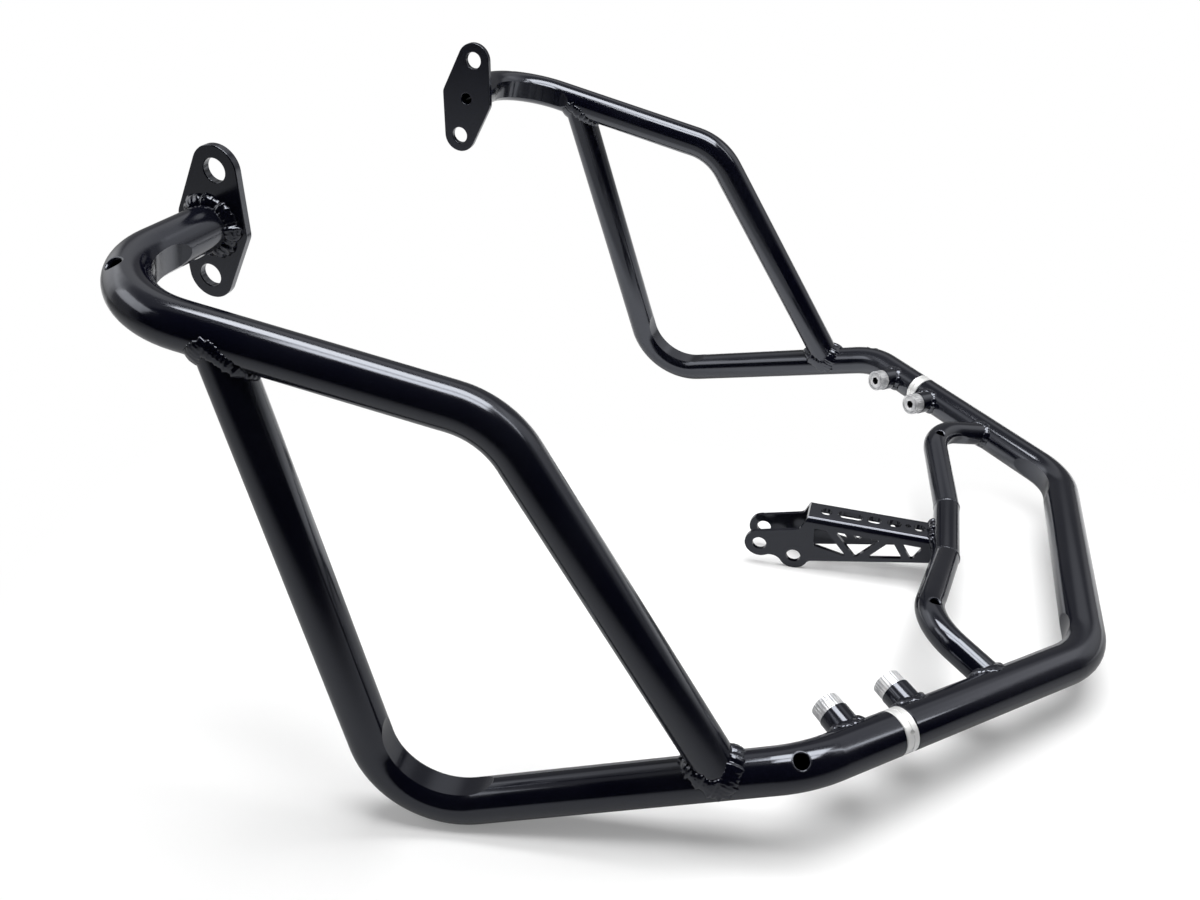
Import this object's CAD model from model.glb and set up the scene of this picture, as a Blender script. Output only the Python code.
# %% [markdown]
# # Motorcycle crash bars
#
# The crash bars are bent steel tube, coped, welded and coated gloss black. The packed
# model already holds every tube, plate and fastener at its real size. This lesson adds
# what the eye looks for next: weld beads, knurled screw heads, the raised rims of two
# drain holes, and the finishes. Every length is in metres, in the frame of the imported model.

# %% Load the frame
import random
from math import acos, atan2, ceil, cos, pi, radians, sin

import bpy
import numpy as np
from mathutils import Matrix, Quaternion, Vector
from mathutils.bvhtree import BVHTree


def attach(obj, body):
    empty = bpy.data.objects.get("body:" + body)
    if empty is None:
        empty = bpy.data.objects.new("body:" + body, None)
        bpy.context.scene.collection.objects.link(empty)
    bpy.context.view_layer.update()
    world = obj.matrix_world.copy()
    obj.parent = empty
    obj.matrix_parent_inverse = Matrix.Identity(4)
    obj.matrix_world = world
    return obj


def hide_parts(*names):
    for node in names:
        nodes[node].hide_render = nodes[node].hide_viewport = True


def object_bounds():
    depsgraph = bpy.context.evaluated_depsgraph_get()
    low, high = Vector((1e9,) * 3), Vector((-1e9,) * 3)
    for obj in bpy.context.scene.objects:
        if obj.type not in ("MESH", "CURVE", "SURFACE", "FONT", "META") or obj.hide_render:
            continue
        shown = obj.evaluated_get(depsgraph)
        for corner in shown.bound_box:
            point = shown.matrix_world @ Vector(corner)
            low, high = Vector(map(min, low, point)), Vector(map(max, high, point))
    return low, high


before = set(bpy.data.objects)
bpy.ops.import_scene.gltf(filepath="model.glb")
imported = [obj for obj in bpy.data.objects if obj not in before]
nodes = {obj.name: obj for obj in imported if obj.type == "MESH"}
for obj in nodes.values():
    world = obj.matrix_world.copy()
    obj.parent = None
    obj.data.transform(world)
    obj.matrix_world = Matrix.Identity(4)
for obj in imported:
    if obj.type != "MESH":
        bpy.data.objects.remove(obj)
cad_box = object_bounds()
sides = ("right", "left")
print(f"{len(nodes)} nodes, from {cad_box[0]} to {cad_box[1]}")

# %% [markdown]
# ## Camera
#
# The photograph was taken from the right and a little in front, above the bars, with a
# short lens. A camera can be placed by its angles, but a place and a point to aim at are
# easier to picture. A small roll is added because the photograph is not quite level.

# %% Camera
camera_place = Vector((0.6087, 0.1255, 0.4537))
camera_aim = Vector((-0.1214, -0.1264, 0.0))
camera_roll = radians(-3.24)
camera_lens = 29.26
nearest_seen = 0.01

level = (camera_aim - camera_place).to_track_quat("-Z", "Y")
bpy.ops.object.camera_add(location=camera_place)
camera = bpy.context.active_object
camera.rotation_euler = (level @ Quaternion((0, 0, 1), camera_roll)).to_euler()
camera.data.lens = camera_lens
camera.data.clip_start = nearest_seen
bpy.context.scene.camera = camera
print(f"camera {(camera_aim - camera_place).length:.2f} m from its aim")

# %% [markdown]
# ## Shader sums
#
# A shader is a web of nodes, and a web of thirty nodes is hard to read as code. A small
# class that wraps one socket lets a sum be written as a sum: `0.2 + 0.1 * noise` adds the
# two Math nodes by itself. Any other node comes from the one method `node`.

# %% Shader sums: one socket
class Wire:
    """A socket in a node tree. Sums on it add Math nodes."""

    def __init__(self, tree, socket=None):
        self.tree = tree
        self.socket = socket

    def node(self, kind, settings=None, inputs=None, output=0):
        """New node: its settings first, then the values or links of its sockets."""
        made = self.tree.nodes.new(f"ShaderNode{kind}")
        for name, value in (settings or {}).items():
            setattr(made, name, value)
        for name, value in (inputs or {}).items():
            if isinstance(value, Wire):
                self.tree.links.new(value.socket, made.inputs[name])
            else:
                made.inputs[name].default_value = value
        return Wire(self.tree, made.outputs[output])

    def math(self, operation, first, second):
        return self.node("Math", {"operation": operation}, {0: first, 1: second})

    def __add__(self, other):
        return self.math("ADD", self, other)

    def __radd__(self, other):
        return self.math("ADD", other, self)

    def __sub__(self, other):
        return self.math("SUBTRACT", self, other)

    def __rsub__(self, other):
        return self.math("SUBTRACT", other, self)

    def __mul__(self, other):
        return self.math("MULTIPLY", self, other)

    def __rmul__(self, other):
        return self.math("MULTIPLY", other, self)

    def along(self, way):
        """How far a place or a direction reaches along a way: their dot product."""
        return self.node("VectorMath", {"operation": "DOT_PRODUCT"}, {0: self, 1: way}, "Value")

    def step(self, low, high):
        """0 below low, 1 above high, and smooth between them."""
        return self.node(
            "MapRange",
            {"interpolation_type": "SMOOTHSTEP"},
            {"Value": self, "From Min": low, "From Max": high},
        )

    def blend(self, first, second):
        """Colour between two others, by this value from 0 to 1. Its sockets have numbers only."""
        return self.node("Mix", {"data_type": "RGBA"}, {0: self, 6: first, 7: second}, 2)


print("Wire sums ready")

# %% Shader sums: parts that the finishes share
def noise(place, scale, detail=2.0):
    """Cloudy pattern from 0 to 1, with patches about 1 / scale metres wide."""
    return place.node("TexNoise", {}, {"Vector": place, "Scale": scale, "Detail": detail})


def ray_kinds(wire):
    """Two values: 1 for a ray from the camera, and 1 for a ray off a glossy surface."""
    seen = wire.node("LightPath", output="Is Camera Ray")
    mirrored_ray = wire.node("LightPath", output="Is Glossy Ray")
    return seen, mirrored_ray


def new_material(name):
    """Material with an empty node tree, a wire to add nodes with, and its output node."""
    material = bpy.data.materials.new(name)
    material.use_nodes = True
    material.node_tree.nodes.clear()
    output = material.node_tree.nodes.new("ShaderNodeOutputMaterial")
    return material, Wire(material.node_tree), output


def shade(wire, output, height, sockets):
    """Shader with the given sockets, and bump from a height in metres."""
    normal = wire.node("Bump", {}, {"Strength": 1.0, "Distance": 1.0, "Height": height})
    shader = wire.node("BsdfPrincipled", {}, {**sockets, "Normal": normal})
    wire.tree.links.new(shader.socket, output.inputs["Surface"])


print("noise, rays, materials and shading ready")

# %% [markdown]
# ## Floor
#
# The bars stand on a white sheet that fills the picture. A white plane alone turns grey
# away from the lamps, so what the camera sees is lifted to full white far from the bars,
# and only near them does the sheet show its own light and their shadow. It also turns to
# full white under the far bar, where only a faint shadow would be left. In a reflection
# the sheet is brightest on the far side, dimmer from the middle on, and it ends on the
# camera's side, as a sheet on a table does in a dark room. That edge is what keeps the
# fronts of the tubes black.

# %% Floor: a plane
floor_size = 40.0
floor_height = cad_box[0][2]

bpy.ops.object.select_all(action="DESELECT")
bpy.ops.mesh.primitive_plane_add(size=floor_size, location=(0, 0, floor_height))
floor = bpy.context.active_object
floor.name = "floor"
print(f"floor at z = {floor_height:.5f}")

# %% Floor: a white sheet
floor_white = 0.8
floor_lift = 0.2
mirrored_dimming = 0.55
sheet_edge_way = (1, 1, 0)

# Where each change over the sheet starts and where it ends
shadow_reach = (0.36, 0.56)
shadow_side = (-0.15, -0.03)
mirrored_side = (-0.12, 0.03)
sheet_edge = (0.15, 1.3)

floor_material, floor_wire, floor_output = new_material("white_sheet")
floor_place = floor_wire.node("TexCoord", output="Object")
floor_x = floor_wire.node("SeparateXYZ", {}, {0: floor_place}, "X")
from_middle = floor_wire.node("VectorMath", {"operation": "LENGTH"}, {0: floor_place}, "Value")
seen, mirrored_ray = ray_kinds(floor_wire)
shadow_share = floor_x.step(*shadow_side) * (1 - from_middle.step(*shadow_reach))
near_dimming = mirrored_dimming * floor_x.step(*mirrored_side)
edge_dimming = (1 - mirrored_dimming) * floor_place.along(sheet_edge_way).step(*sheet_edge)
far_share = seen * (1 - shadow_share) + mirrored_ray * (near_dimming + edge_dimming)

lit_sheet = floor_wire.node("BsdfDiffuse", {}, {"Color": (floor_white, floor_white, floor_white, 1)})
sheet_lift = floor_wire.node("Emission", {}, {"Strength": floor_lift * (seen + mirrored_ray)})
near_sheet = floor_wire.node("AddShader", {}, {0: lit_sheet, 1: sheet_lift})
far_sheet = floor_wire.node("Emission", {}, {"Strength": seen})
sheet = floor_wire.node("MixShader", {}, {0: far_share, 1: near_sheet, 2: far_sheet})
floor_wire.tree.links.new(sheet.socket, floor_output.inputs["Surface"])
floor.data.materials.append(floor_material)
print(f"sheet with {len(floor_wire.tree.nodes)} shader nodes")

# %% [markdown]
# ## Lights
#
# Gloss black paint shows almost nothing but reflections, so the lamps are shaped for what
# they draw on the tubes. Two long panels hang side by side overhead. Together they give
# the soft shadow straight below, and on each tube they draw two bright bands with a thin
# dark line between them, which is the gap between the panels. A thinner, dimmer strip in
# front carries that line round the front bends. A weaker panel, high behind the right-hand
# bar, lifts its rear bend out of the black.

# %% Lights
def softbox(name, place, aim, width, length, radiance):
    """Rectangular lamp that faces a point, with its length along Y where it can."""
    bpy.ops.object.light_add(type="AREA", location=place)
    lamp = bpy.context.active_object
    lamp.name = name
    lamp.data.shape = "RECTANGLE"
    lamp.data.size = width
    lamp.data.size_y = length
    lamp.data.energy = radiance * pi * width * length
    lamp.rotation_euler = (Vector(aim) - Vector(place)).to_track_quat("-Z", "Y").to_euler()
    lamp.visible_camera = False


# Each overhead panel's X, Y, width, length and radiance
panel_height = 1.6
panels = {
    "left_panel": (-0.16, 0.1, 0.52, 1.3, 9.5),
    "right_panel": (0.335, 0.22, 0.33, 1.05, 9.5),
    "front_strip": (-0.15, 1.65, 0.16, 1.7, 5.0),
}
for name, (panel_x, panel_y, *panel_sizes) in panels.items():
    softbox(name, (panel_x, panel_y, panel_height), (panel_x, panel_y, 0), *panel_sizes)

rear_place = (0.79, -1.36, 1.38)
rear_aim = (0, 0, 0.15)
rear_width = 1.0
rear_length = 0.7
rear_radiance = 1.9
softbox("rear_panel", rear_place, rear_aim, rear_width, rear_length, rear_radiance)

# %% [markdown]
# ## World
#
# The world stands for the studio's walls. The camera sees plain white there. A reflection
# sees a grey wall behind the bars with a brighter band high up and a bright panel at each
# side, and nothing on the camera's side, where the room is dark. All other light from it
# is one even level, so the shadows are never quite black.

# %% World: the walls and how bright they are
ambient = 0.176
wall_grey = 0.2
band_white = 0.64

# Each side wall's turn from X in degrees, and how bright it is
side_walls = {"rear": (-106, 1.1), "front": (127, 0.6)}
side_wall_edge = 26
side_wall_full = 10

# Where each change starts and where it ends: by compass, as a cosine, and by height, as a sine
wall_ends = (-0.45, -0.1)
side_wall_ends = (cos(radians(side_wall_edge)), cos(radians(side_wall_full)))
band_start = (0.5, 0.62)
band_end = (0.75, 0.85)
side_wall_start = (-0.3, 0.5)
side_wall_end = (0.6, 0.8)
away = Vector((camera_aim.x - camera_place.x, camera_aim.y - camera_place.y, 0)).normalized()
print(f"backdrop stands towards {tuple(round(share, 2) for share in away)}")

# %% World: what each ray sees
world = bpy.data.worlds.new("studio")
bpy.context.scene.world = world
world.use_nodes = True
world.node_tree.nodes.clear()
sky = Wire(world.node_tree)
direction = sky.node("TexCoord", output="Generated")
level_way = sky.node("VectorMath", {"operation": "MULTIPLY"}, {0: direction, 1: (1, 1, 0)})
compass = sky.node("VectorMath", {"operation": "NORMALIZE"}, {0: level_way})
rise = sky.node("SeparateXYZ", {}, {0: direction}, "Z")
camera_ray, glossy_ray = ray_kinds(sky)

band = rise.step(*band_start) * (1 - rise.step(*band_end))
backdrop = compass.along(away).step(*wall_ends) * (wall_grey + (band_white - wall_grey) * band)
side_wall_fade = rise.step(*side_wall_start) * (1 - rise.step(*side_wall_end))
for turn, glow in side_walls.values():
    facing = compass.along((cos(radians(turn)), sin(radians(turn)), 0))
    backdrop = backdrop + glow * facing.step(*side_wall_ends) * side_wall_fade
strength = camera_ray + glossy_ray * backdrop + (1 - camera_ray - glossy_ray) * ambient
background = sky.node("Background", {}, {"Color": (1, 1, 1, 1), "Strength": strength})
world_output = world.node_tree.nodes.new("ShaderNodeOutputWorld")
world.node_tree.links.new(background.socket, world_output.inputs["Surface"])
bpy.context.scene.view_settings.view_transform = "Standard"
print(f"world with {len(world.node_tree.nodes)} shader nodes")

# %% [markdown]
# ## Black coat
#
# The tubes are powder coated. The powder melts into a skin that is deep black and glossy
# but never quite flat: it keeps a fine ripple, called orange peel, and faint hazy patches.
# A bump node gives the ripple, because its waves are far too small to model, and a slow
# noise varies the gloss. The welds get the same coat with a finer, deeper ripple.

# %% Black coat
coat_black = (0.002, 0.0022, 0.0058, 1)
coat_haze = (0.0042, 0.0046, 0.0085, 1)
coat_tint = (0.86, 0.9, 1.0, 1)
coat_ior = 1.75
haze_scale = 14.0
haze_detail = 4.0
haze_ends = (0.35, 0.75)
ripple_scale = 38.0
ripple_detail = 1.0
peel_share = 0.5


def coat(name, roughness, spread, peel_scale, peel, ripple):
    """Gloss black powder coat. Spread is how rough its haze gets, peel and ripple are heights."""
    material, wire, output = new_material(name)
    place = wire.node("TexCoord", output="Object")
    haze = noise(place, haze_scale, haze_detail).step(*haze_ends)
    fine = noise(place, peel_scale)
    waves = noise(place, ripple_scale, ripple_detail)
    sockets = {
        "Base Color": haze.blend(coat_black, coat_haze),
        "Roughness": roughness + spread * haze + peel_share * spread * fine,
        "IOR": coat_ior,
        "Specular Tint": coat_tint,
    }
    shade(wire, output, peel * fine + ripple * waves, sockets)
    return material


black_coat = coat("black_coat", roughness=0.1, spread=0.06, peel_scale=330.0, peel=1.2e-6, ripple=3.0e-5)
weld_coat = coat("weld_coat", roughness=0.09, spread=0.05, peel_scale=900.0, peel=5.0e-5, ripple=1.0e-5)
for node in nodes.values():
    node.data.materials.clear()
    node.data.materials.append(black_coat)
print(f"coated {len(nodes)} nodes")

# %% [markdown]
# ## Turned and plated steel
#
# Only two things are bare metal: the collar of each coupling, which was turned on a lathe,
# and the zinc-plated screws. A lathe leaves fine rings, so the collar's noise is stretched
# into rings: it varies along the axis of the spigot and not around it. The axis comes from
# the spigot's own mesh, as the direction in which its points spread the most. Plating is
# cloudy and grainy instead, and it darkens where grime has settled.

# %% Turned steel
steel_light = (0.96, 0.96, 0.95, 1)
steel_dark = (0.84, 0.84, 0.85, 1)
steel_metallic = 0.6
steel_roughness = 0.38
ring_scale = 2600.0
ring_detail = 3.0
ring_height = 1.5e-5
ring_roughness = 0.12
smudge_scale = 160.0
smudge_ends = (0.4, 0.8)
smudge_roughness = 0.06


def points_of(node):
    """Places of a node's vertices, one row each."""
    return np.array([vertex.co for vertex in nodes[node].data.vertices])


def long_axis(points):
    """Middle of a set of points, and the direction in which they spread the most."""
    middle = points.mean(axis=0)
    _, ways = np.linalg.eigh(np.cov((points - middle).T))
    return Vector(middle), Vector(ways[:, -1]).normalized()


def turned_steel(name, axis):
    """Bright steel with lathe rings about an axis."""
    material, wire, output = new_material(name)
    place = wire.node("TexCoord", output="Object")
    ring_inputs = {"W": place.along(axis), "Scale": ring_scale, "Detail": ring_detail}
    rings = wire.node("TexNoise", {"noise_dimensions": "1D"}, ring_inputs)
    smudge = noise(place, smudge_scale).step(*smudge_ends)
    sockets = {
        "Base Color": (0.5 * rings + 0.5 * smudge).blend(steel_light, steel_dark),
        "Metallic": steel_metallic,
        "Roughness": steel_roughness + ring_roughness * rings + smudge_roughness * smudge,
    }
    shade(wire, output, ring_height * rings, sockets)
    return material


for side in sides:
    spigot = f"{side}_joint_spigot"
    spigot_axis = long_axis(points_of(spigot))[1]
    nodes[spigot].data.materials[0] = turned_steel(f"turned_steel_{side}", spigot_axis)
    print(f"{spigot} lies along {tuple(round(share, 3) for share in spigot_axis)}")

# %% Zinc plating
zinc_light = (0.74, 0.74, 0.75, 1)
zinc_dark = (0.42, 0.43, 0.45, 1)
zinc_grime = (0.03, 0.03, 0.034, 1)
zinc_metallic = 0.7
zinc_roughness = 0.34
cloud_scale = 220.0
cloud_detail = 3.0
cloud_ends = (0.3, 0.8)
cloud_roughness = 0.14
grain_scale = 2400.0
grain_height = 4.0e-6
grain_roughness = 0.06
grime_roughness = 0.2


def zinc_plate(name):
    """Clear zinc plating: bright, a little cloudy, faintly grainy, and dark in its recesses."""
    material, wire, output = new_material(name)
    place = wire.node("TexCoord", output="Object")
    cloud = noise(place, cloud_scale, cloud_detail)
    grain = noise(place, grain_scale)
    recess = wire.node("Attribute", {"attribute_name": "recess"}, output="Fac")
    bright = cloud.step(*cloud_ends).blend(zinc_light, zinc_dark)
    cloudy = zinc_roughness + cloud_roughness * cloud
    sockets = {
        "Base Color": recess.blend(bright, zinc_grime),
        "Metallic": zinc_metallic,
        "Roughness": cloudy + grain_roughness * grain + grime_roughness * recess,
    }
    shade(wire, output, grain_height * grain, sockets)
    return material


zinc = zinc_plate("zinc_steel")
print(f"{zinc.name} with {len(zinc.node_tree.nodes)} shader nodes")

# %% [markdown]
# ## Cap screws
#
# Each coupling is held by two socket cap screws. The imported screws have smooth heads, so
# one screw is modelled here with its knurl and socket and copied four times. Its sizes are
# measured on a packed screw. The head starts as a cylinder: every other face of its side
# is inset and pushed in, which leaves the ridges that a finger grips. The shank is extruded
# from under the head, and a six-sided cutter takes out the socket. Grime settles in the
# socket and the grooves, so their faces get a number, named recess, that the finish reads.

# %% Cap screws: measure
head_share = 0.75
seat_margin = 0.001


def measure_screw(node):
    """Seat, axis towards the head, head radius and height, shank radius and length.

    Points further from the axis than a share of the greatest radius are on the head.
    """
    points = points_of(node)
    middle, axis = long_axis(points)
    along = (points - np.array(middle)) @ np.array(axis)
    radius = np.linalg.norm(points - np.array(middle) - np.outer(along, axis), axis=1)
    head = along[radius > head_share * radius.max()]
    if head.mean() < 0:
        axis = -axis
        along = -along
        head = -head
    shank_radius = radius[along < head.min() - seat_margin].max()
    seat = middle + axis * head.min()
    return seat, axis, radius.max(), np.ptp(head), shank_radius, head.min() - along.min()


head_radius, head_height, shank_radius, shank_length = measure_screw("right_bar_screw")[2:]
print(f"screw head {2000 * head_radius:.1f} x {1000 * head_height:.1f} mm,",
      f"shank {2000 * shank_radius:.1f} x {1000 * shank_length:.1f} mm")

# %% Cap screws: helpers for edit mode
def only(piece):
    """Select one object and nothing else."""
    bpy.ops.object.select_all(action="DESELECT")
    piece.select_set(True)
    bpy.context.view_layer.objects.active = piece


def edit_faces(piece, test):
    """Go into edit mode with the faces selected that pass a test of their place and normal."""
    only(piece)
    bpy.ops.object.mode_set(mode="EDIT")
    bpy.ops.mesh.select_mode(type="FACE")
    bpy.ops.mesh.select_all(action="DESELECT")
    bpy.ops.object.mode_set(mode="OBJECT")
    for face in piece.data.polygons:
        face.select = test(face.center, face.normal)
    bpy.ops.object.mode_set(mode="EDIT")


def edit_done():
    """Go back to object mode."""
    bpy.ops.object.mode_set(mode="OBJECT")


def apply_modifier(piece, kind, **settings):
    """Add a modifier to a piece, set it and apply it."""
    only(piece)
    modifier = piece.modifiers.new(kind.lower(), kind)
    for name, value in settings.items():
        setattr(modifier, name, value)
    bpy.ops.object.modifier_apply(modifier=modifier.name)


print("edit helpers ready")

# %% Cap screws: the knurled head
ridge_count = 30
ridge_depth = 0.0005
ridge_margin = 0.0002
head_chamfer = 0.0007

# A normal's Z is past the first on a face that lies level, and under the second on an upright one
level_face = 0.9
upright_face = 0.1

bpy.ops.object.select_all(action="DESELECT")
bpy.ops.mesh.primitive_cylinder_add(
    vertices=2 * ridge_count, radius=head_radius, depth=head_height, location=(0, 0, head_height / 2)
)
screw = bpy.context.active_object
only(screw)
bpy.ops.object.transform_apply(location=True, rotation=True, scale=True)

edit_faces(screw, lambda place, normal: normal.z > level_face)
bpy.ops.mesh.bevel(offset=head_chamfer, segments=2, affect="EDGES")
edit_done()


def in_groove(place, normal):
    """True on every other tall face of the head's side."""
    turn = atan2(place.y, place.x) * ridge_count / pi
    return abs(normal.z) < upright_face and int(turn // 1) % 2 == 0


edit_faces(screw, in_groove)
bpy.ops.mesh.inset(thickness=ridge_margin, use_individual=True)
bpy.ops.transform.shrink_fatten(value=-ridge_depth)
edit_done()
print(f"head with {ridge_count} ridges")

# %% Cap screws: shank and socket
tip_chamfer = 0.0009
socket_width = 0.006
socket_depth = 0.004
socket_reach = socket_width / 3 ** 0.5
sharp_edge = radians(28)

edit_faces(screw, lambda place, normal: normal.z < -level_face)
bpy.ops.mesh.inset(thickness=head_radius - shank_radius)
bpy.ops.mesh.extrude_region_move(TRANSFORM_OT_translate={"value": (0, 0, -shank_length)})
bpy.ops.mesh.bevel(offset=tip_chamfer, segments=1, affect="EDGES")
edit_done()

bpy.ops.mesh.primitive_cylinder_add(
    vertices=6, radius=socket_reach, depth=2 * socket_depth, location=(0, 0, head_height)
)
cutter = bpy.context.active_object
apply_modifier(screw, "BOOLEAN", object=cutter, operation="DIFFERENCE", solver="EXACT")
bpy.data.objects.remove(cutter)
only(screw)
bpy.ops.object.shade_smooth_by_angle(angle=sharp_edge)
print(f"screw: {len(screw.data.polygons)} faces")

# %% Cap screws: grime in the recesses
socket_span = (0.1 * socket_depth, 1.1 * socket_depth)
groove_reach = head_radius - 0.6 * ridge_depth
socket_grime = 1.0
groove_grime = 0.6

recess = screw.data.attributes.new("recess", "FLOAT", "FACE")
for face in screw.data.polygons:
    from_axis = face.center.xy.length
    below_top = head_height - face.center.z
    if from_axis < socket_reach and socket_span[0] < below_top < socket_span[1]:
        recess.data[face.index].value = socket_grime
    elif from_axis < groove_reach and 0 < face.center.z and abs(face.normal.z) < upright_face:
        recess.data[face.index].value = groove_grime
print(f"grime on {sum(mark.value > 0 for mark in recess.data)} faces")

# %% Cap screws: four copies
def copy_of(piece, name, place):
    """Copy with a mesh of its own, put in place."""
    copied = piece.copy()
    copied.data = piece.data.copy()
    copied.name = name
    copied.data.transform(place)
    bpy.context.scene.collection.objects.link(copied)
    return copied


for side in sides:
    for tube in ("bar", "hoop"):
        node = f"{side}_{tube}_screw"
        seat, axis = measure_screw(node)[:2]
        turn = axis.to_track_quat("Z", "Y").to_matrix().to_4x4()
        cap_screw = copy_of(screw, f"{side}_{tube}_cap_screw", Matrix.Translation(seat) @ turn)
        cap_screw.data.materials.append(zinc)
        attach(cap_screw, "root")
        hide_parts(node)
bpy.data.objects.remove(screw)
print("4 cap screws in place")

# %% [markdown]
# ## Weld seams
#
# A weld runs round the end of a tube where it meets another piece. Its path could be
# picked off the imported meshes, but as a sum it is exact and short: every line along the
# tube is followed until it reaches the other tube, or a plane. On two round tubes this
# curve is called a fish mouth. Only the right-hand joints are worked out, because the
# left-hand ones are their mirror images.

# %% Weld seams: runs of the tubes
tube_radius = 0.0125
brace_radius = 0.009
boss_radius = 0.009

# Points where the straight runs would cross, and where the stub ends on its flange
rear_bend = Vector((0.2728, -0.249, 0.2974))
front_bend = Vector((0.252, -0.047, 0.242))
low_bend = Vector((0.292, -0.117, 0.00277))
coupling_bend = Vector((0.2492, 0.1042, 0.054))
hoop_corner = Vector((0.1015, 0.254, 0.0335))
brace_elbow = Vector((0.1185, 0.158, 0.056))
brace_kink = Vector((0.031, 0.1715, 0.041))
flange_seat = Vector((0.173, -0.243, 0.299))

# Distances along the runs, and those of the bosses from the collar
strut_head_place = 0.073
strut_foot_place = 0.044
brace_foot_place = 0.14
collar_place = 0.061
bar_boss_place = 0.026
hoop_boss_place = 0.018
boss_rise = radians(8)


def toward(start, end, distance):
    """Point on the line from start to end, at a distance from start."""
    return start + (end - start).normalized() * distance


strut_head = toward(rear_bend, front_bend, strut_head_place)
strut_foot = toward(coupling_bend, low_bend, strut_foot_place)
brace_foot = toward(coupling_bend, hoop_corner, brace_foot_place)
bar_boss = toward(coupling_bend, hoop_corner, collar_place - bar_boss_place)
hoop_boss = toward(coupling_bend, hoop_corner, collar_place + hoop_boss_place)
rail = (hoop_corner - coupling_bend).normalized()
inward = Vector((0, 0, 1)).cross(rail).normalized()
boss_way = Quaternion(rail, boss_rise) @ inward
print(f"strut from {tuple(strut_head)} down to {tuple(low_bend)}")

# %% Weld seams: curves
seam_points = 96


def end_lines(start, end, radius):
    """Direction of a tube, and a point and a normal for each line along its end."""
    way = (end - start).normalized()
    across = way.orthogonal().normalized()
    over = way.cross(across)
    turns = [2 * pi * number / seam_points for number in range(seam_points)]
    normals = [across * cos(turn) + over * sin(turn) for turn in turns]
    return way, [(end + normal * radius, normal) for normal in normals]


def fish_mouth(start, end, radius, main_start, main_end):
    """Seam of a tube that ends on a main tube: places, normals of the tube and of the main tube."""
    way, lines = end_lines(start, end, radius)
    main_way = (main_end - main_start).normalized()
    slant = way - main_way * way.dot(main_way)
    path = ([], [], [])
    for point, normal in lines:
        offset = point - main_start
        offset -= main_way * offset.dot(main_way)
        short = offset.dot(slant)
        room = short ** 2 - slant.length_squared * (offset.length_squared - tube_radius ** 2)
        back = -(short + max(room, 0) ** 0.5) / slant.length_squared
        path[0].append(point + way * back)
        path[1].append(normal)
        path[2].append((offset + slant * back).normalized())
    return path


def flat_cut(start, end, radius, plane_normal):
    """Seam of a tube that ends on a plane through its end point."""
    way, lines = end_lines(start, end, radius)
    steep = way.dot(plane_normal)
    places = [point - way * ((point - end).dot(plane_normal) / steep) for point, _ in lines]
    return places, [normal for _, normal in lines], [plane_normal] * len(lines)


def mirrored(path):
    """Left-hand image of a seam."""
    return tuple([Vector((-spot.x, spot.y, spot.z)) for spot in row] for row in path)


print(f"seams have {seam_points} points")

# %% Weld seams: right-hand joints
stub_seam = flat_cut(rear_bend, flange_seat, tube_radius, Vector((1, 0, 0)))
head_seam = fish_mouth(low_bend, strut_head, tube_radius, rear_bend, front_bend)
foot_seam = fish_mouth(front_bend, strut_foot, tube_radius, coupling_bend, low_bend)
arm_seam = fish_mouth(brace_elbow, brace_foot, brace_radius, coupling_bend, hoop_corner)
bar_seam = fish_mouth(bar_boss + boss_way, bar_boss, boss_radius, coupling_bend, hoop_corner)
hoop_seam = fish_mouth(hoop_boss + boss_way, hoop_boss, boss_radius, coupling_bend, hoop_corner)
print(f"strut foot's seam starts at {tuple(foot_seam[0][0])}")

# %% [markdown]
# ## Weld beads
#
# A weld bead is a row of small puddles, each frozen on the edge of the last. One drop is
# modelled and copied along the seam at an even pitch, sized to fill the corner between the
# two surfaces: flat and wide where the corner is open, narrow and deep where it is tight.
# A voxel remesh melts the row of drops into one skin, and a little smoothing softens it.

# %% Weld beads: one drop
nose_start = 0.2
nose_stretch = (1.25, 0.86, 0.82)

bpy.ops.object.select_all(action="DESELECT")
bpy.ops.mesh.primitive_ico_sphere_add(subdivisions=3, radius=1)
drop = bpy.context.active_object
edit_faces(drop, lambda place, normal: place.x > nose_start)
bpy.ops.transform.resize(value=nose_stretch)
edit_done()
print(f"drop: {len(drop.data.polygons)} faces")

# %% Weld beads: places of the drops
luck = random.Random(11)
drop_tilt = radians(-14)

# Shares of the pitch, and of the drop's rise out of its corner
drop_length = 1.1
drop_slip = 0.5
drop_lift = 0.45
drop_height = 0.6


def along_path(places, values, closed, pitch):
    """Places at an even pitch along a path, each with the values that go with it."""
    stops = list(range(len(places))) + ([0] if closed else [])
    lengths = [(places[b] - places[a]).length for a, b in zip(stops, stops[1:])]
    reached = np.concatenate([[0], np.cumsum(lengths)])
    count = max(2, ceil(reached[-1] / pitch))
    wanted = np.linspace(0, reached[-1], count, endpoint=not closed)
    rows = np.array([[*places[i], *values[0][i], *values[1][i]] for i in stops])
    return np.array([np.interp(wanted, reached, column) for column in rows.T]).T


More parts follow.
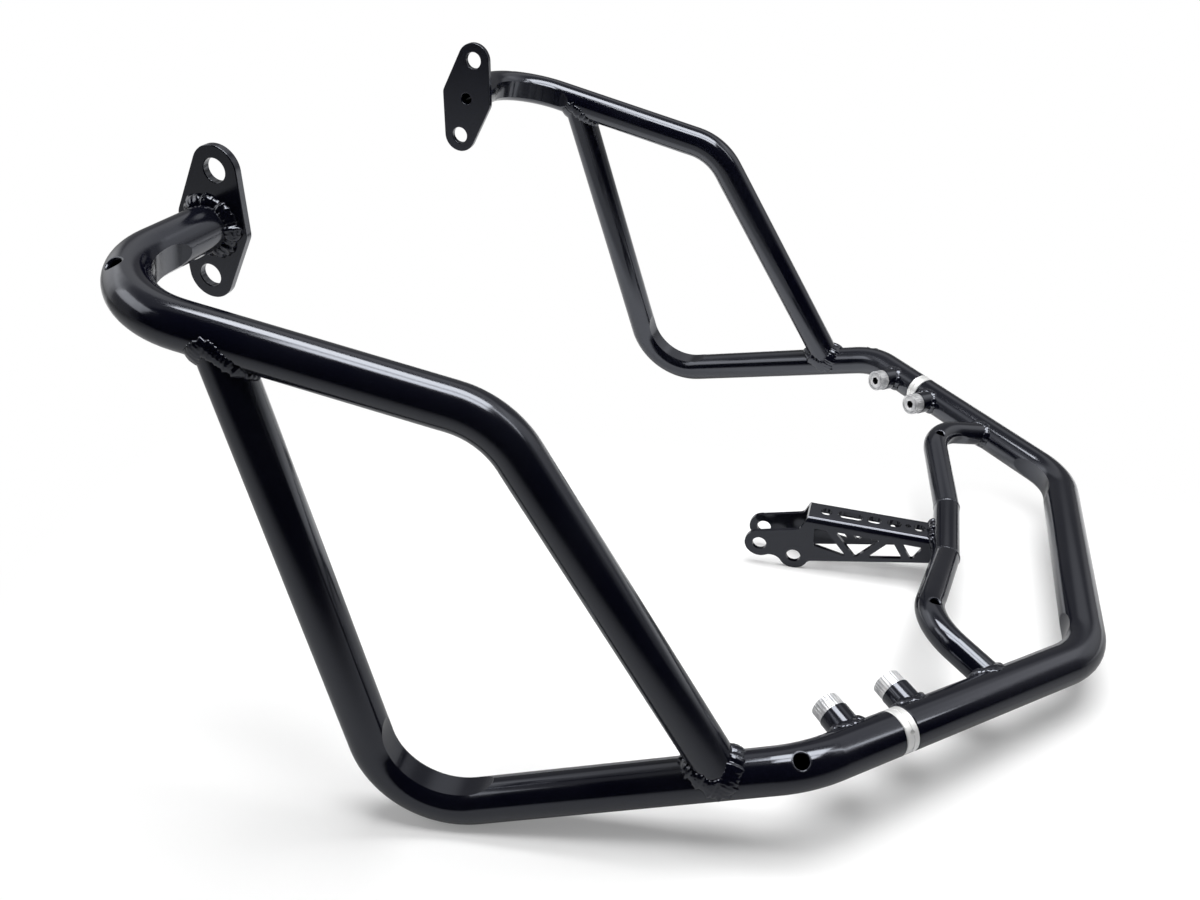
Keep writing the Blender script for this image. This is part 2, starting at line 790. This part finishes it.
def drop_transforms(path, leg, pitch, lumps, crown, sink, closed):
    """Transforms that put a drop at every pitch of a path, each a little uneven."""
    rows = along_path(path[0], path[1:], closed, pitch)
    places = [Vector(row[:3]) for row in rows]
    last = len(places) - 1
    transforms = []
    for number, row in enumerate(rows):
        before = places[number - 1] if closed or number > 0 else places[0]
        after = places[(number + 1) % len(places)] if closed or number < last else places[last]
        first = Vector(row[3:6]).normalized()
        second = Vector(row[6:9]).normalized()
        half_corner = (pi - acos(max(-1, min(1, first.dot(second))))) / 2
        size = leg * (1 + lumps * luck.uniform(-1, 1))
        slip = lumps * pitch * luck.uniform(-drop_slip, drop_slip)
        rise = size * cos(half_corner)
        forward = (after - before).normalized()
        outward = (first + second).normalized()
        outward = (outward - forward * outward.dot(forward)).normalized()
        turn = Matrix((forward, outward.cross(forward), outward)).transposed().to_4x4()
        tilt = Matrix.Rotation(drop_tilt, 4, "Y")
        width = size * sin(half_corner)
        stretch = Matrix.Diagonal((drop_length * pitch, width, max(drop_height * rise, crown), 1))
        middle = places[number] + outward * (drop_lift * rise - sink) + forward * slip
        transforms.append(Matrix.Translation(middle) @ turn @ tilt @ stretch)
    return transforms


print("rows of drops ready")

# %% Weld beads: melt a row of drops
bead_voxel = 0.00042
bead_smooth = 5
bead_softness = 0.5


def bead(name, path, leg, pitch, lumps, crown, sink=0.0, voxel=bead_voxel, closed=True):
    """Weld bead along a path.

    Leg is its reach on each surface, lumps its unevenness, crown its least height and
    sink how deep its middle lies.
    """
    transforms = drop_transforms(path, leg, pitch, lumps, crown, sink, closed)
    drops = [copy_of(drop, f"{name}_drop", transform) for transform in transforms]
    bpy.ops.object.select_all(action="DESELECT")
    for made in drops:
        made.select_set(True)
    bpy.context.view_layer.objects.active = drops[0]
    bpy.ops.object.join()
    weld = bpy.context.active_object
    weld.name = name
    apply_modifier(weld, "REMESH", mode="VOXEL", voxel_size=voxel, use_smooth_shade=True)
    apply_modifier(weld, "SMOOTH", factor=bead_softness, iterations=bead_smooth)
    weld.data.materials.clear()
    weld.data.materials.append(weld_coat)
    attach(weld, "root")
    print(f"{name}: {len(transforms)} drops, {len(weld.data.polygons)} faces")


print("beads ready")

# %% Weld beads: tubes, flanges and bosses
# Each weld's seam, leg, pitch, lumps and crown
right_welds = {
    "flange_weld": (stub_seam, 0.0068, 0.0029, 0.32, 0.0009),
    "strut_head_weld": (head_seam, 0.005, 0.0021, 0.2, 0.0017),
    "strut_foot_weld": (foot_seam, 0.0062, 0.0023, 0.22, 0.002),
    "brace_foot_weld": (arm_seam, 0.0036, 0.0022, 0.2, 0.0007),
    "bar_boss_weld": (bar_seam, 0.0034, 0.0021, 0.22, 0.0007),
    "hoop_boss_weld": (hoop_seam, 0.0034, 0.0021, 0.22, 0.0007),
}
for name, (path, *sizes) in right_welds.items():
    bead(f"right_{name}", path, *sizes)
    bead(f"left_{name}", mirrored(path), *sizes)

# %% [markdown]
# ## Mitred joints and the bracket
#
# The two arms of the brace meet the centre tube in a mitre, with no corner to fill, so
# that weld was dressed nearly flush: its drops are sunk until only a low ridge is left.
# The bracket's channel is open below, so its weld runs up one web, over the flange and
# down the other web, and stops there.

# %% Weld beads: the brace's mitred joints
mitre = ((brace_elbow - brace_kink).normalized() + Vector((1, 0, 0))).normalized()
kink_places, kink_normals, _ = flat_cut(brace_elbow, brace_kink, brace_radius, mitre)
kink_seam = (kink_places, kink_normals, kink_normals)

# Leg, pitch, lumps, crown and sink
kink_sizes = (0.0019, 0.0018, 0.1, 0.0006, 0.0004)
bead("right_brace_kink_weld", kink_seam, *kink_sizes)
bead("left_brace_kink_weld", mirrored(kink_seam), *kink_sizes)

# %% Weld beads: half of the bracket's outline
web_x = 0.0125
web_low = 0.0322
flange_top = 0.04095
fold_radius = 0.005
fold_x = web_x - fold_radius
fold_z = flange_top - fold_radius
web_points = 8
fold_points = 9
flange_points = 5

# Each point's X and Z, and the way that the sheet faces there
outline = [(web_x, z, 0) for z in np.linspace(web_low, fold_z, web_points)]
for turn in np.linspace(0, pi / 2, fold_points)[1:]:
    outline.append((fold_x + fold_radius * cos(turn), fold_z + fold_radius * sin(turn), turn))
outline += [(x, fold_z + fold_radius, pi / 2) for x in np.linspace(fold_x, 0, flange_points)[1:]]
print(f"half outline with {len(outline)} points")

# %% Weld beads: bracket to centre tube
half_seam = ([], [], [])
for x, z, turn in outline:
    over_axis = z - brace_kink.z
    behind_axis = -(brace_radius ** 2 - over_axis ** 2) ** 0.5
    half_seam[0].append(Vector((x, brace_kink.y + behind_axis, z)))
    half_seam[1].append(Vector((0, behind_axis, over_axis)).normalized())
    half_seam[2].append(Vector((cos(turn), 0, sin(turn))))
bracket_seam = tuple(row + other[-2::-1] for row, other in zip(half_seam, mirrored(half_seam)))

# Leg, pitch, lumps and crown
bracket_sizes = (0.0042, 0.0024, 0.35, 0.0009)
bead("bracket_weld", bracket_seam, *bracket_sizes, closed=False)

# %% [markdown]
# ## Drain rims
#
# The hole that drains each bend by the coupling was punched, which leaves a slightly
# raised rim that catches the light. A ring of rays towards the tube finds the rim's path
# on the bent surface, and a thin, even bead along it stands for the rim.

# %% Drain rims
drain_middle = Vector((0.24848, 0.10014, 0.05236))
drain_way = Vector((0.4643, 0.1143, 0.8783))
rim_radius = 0.0047
lower_tree = BVHTree.FromObject(nodes["right_lower_tube"], bpy.context.evaluated_depsgraph_get())
_, rim_lines = end_lines(drain_middle, drain_middle + drain_way * 2 * tube_radius, rim_radius)
rim_hits = [lower_tree.ray_cast(point, -drain_way)[:2] for point, _ in rim_lines]
rim_places = [place for place, _ in rim_hits]
rim_normals = [normal for _, normal in rim_hits]
rim_seam = (rim_places, rim_normals, rim_normals)

# Leg, pitch, lumps, crown, sink and voxel
rim_sizes = (0.0007, 0.0007, 0.0, 0.00045, 0.0, 0.0002)
bead("right_drain_rim", rim_seam, *rim_sizes)
bead("left_drain_rim", mirrored(rim_seam), *rim_sizes)

# %% [markdown]
# ## Size and finish
#
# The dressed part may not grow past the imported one, so both boxes are written down for
# comparison. The last line checks that every new piece rides on a body.

# %% Size and finish
bpy.data.objects.remove(drop)
